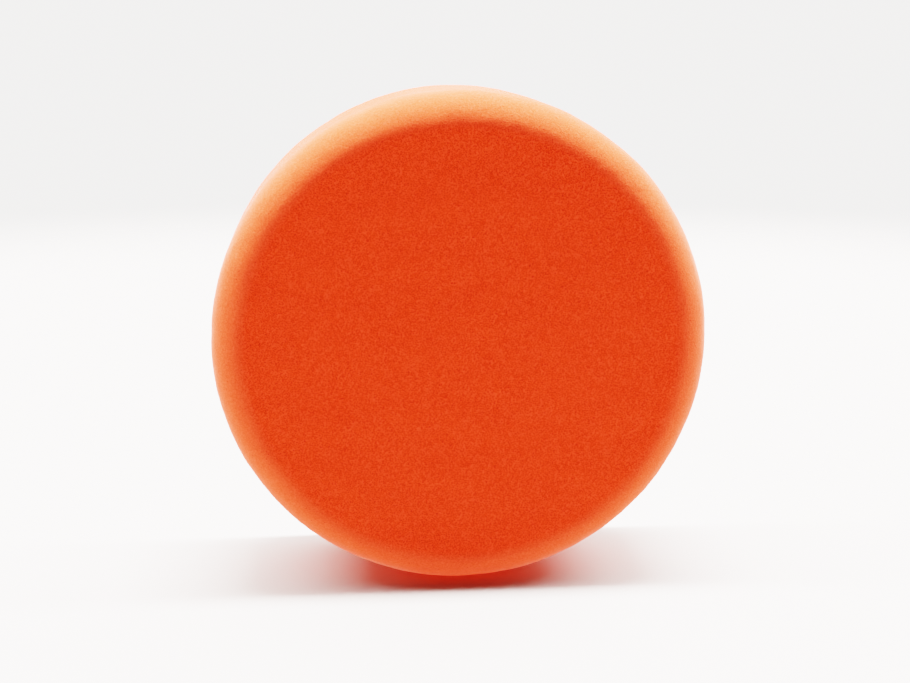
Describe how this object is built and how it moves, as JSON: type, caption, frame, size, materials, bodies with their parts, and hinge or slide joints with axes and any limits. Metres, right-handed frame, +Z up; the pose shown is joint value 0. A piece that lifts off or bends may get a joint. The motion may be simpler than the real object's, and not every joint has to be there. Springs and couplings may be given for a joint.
{
  "type": "polishing pad",
  "caption": "Round foam pad with a rounded working edge and a loop-fabric backing, for spreading and working polish on a machine polisher.",
  "frame": {"origin": "centre of the loop backing's outer face, where the pad meets a backing plate", "axes": "+Y along the pad's axis, out of the loop backing; the working face looks along -Y; +Z up, with the pad standing on its edge"},
  "size_m": [0.1498, 0.05, 0.1498],
  "materials": {
    "orange_foam": "matte",
    "clear_adhesive": "satin",
    "knitted_nylon": "matte",
    "brushed_nylon": "matte"
  },
  "bodies": {
    "root": {"foam_body": "orange_foam", "adhesive_film": "clear_adhesive", "loop_base_cloth": "knitted_nylon", "loop_pile": "brushed_nylon"}
  },
  "joints": []
}
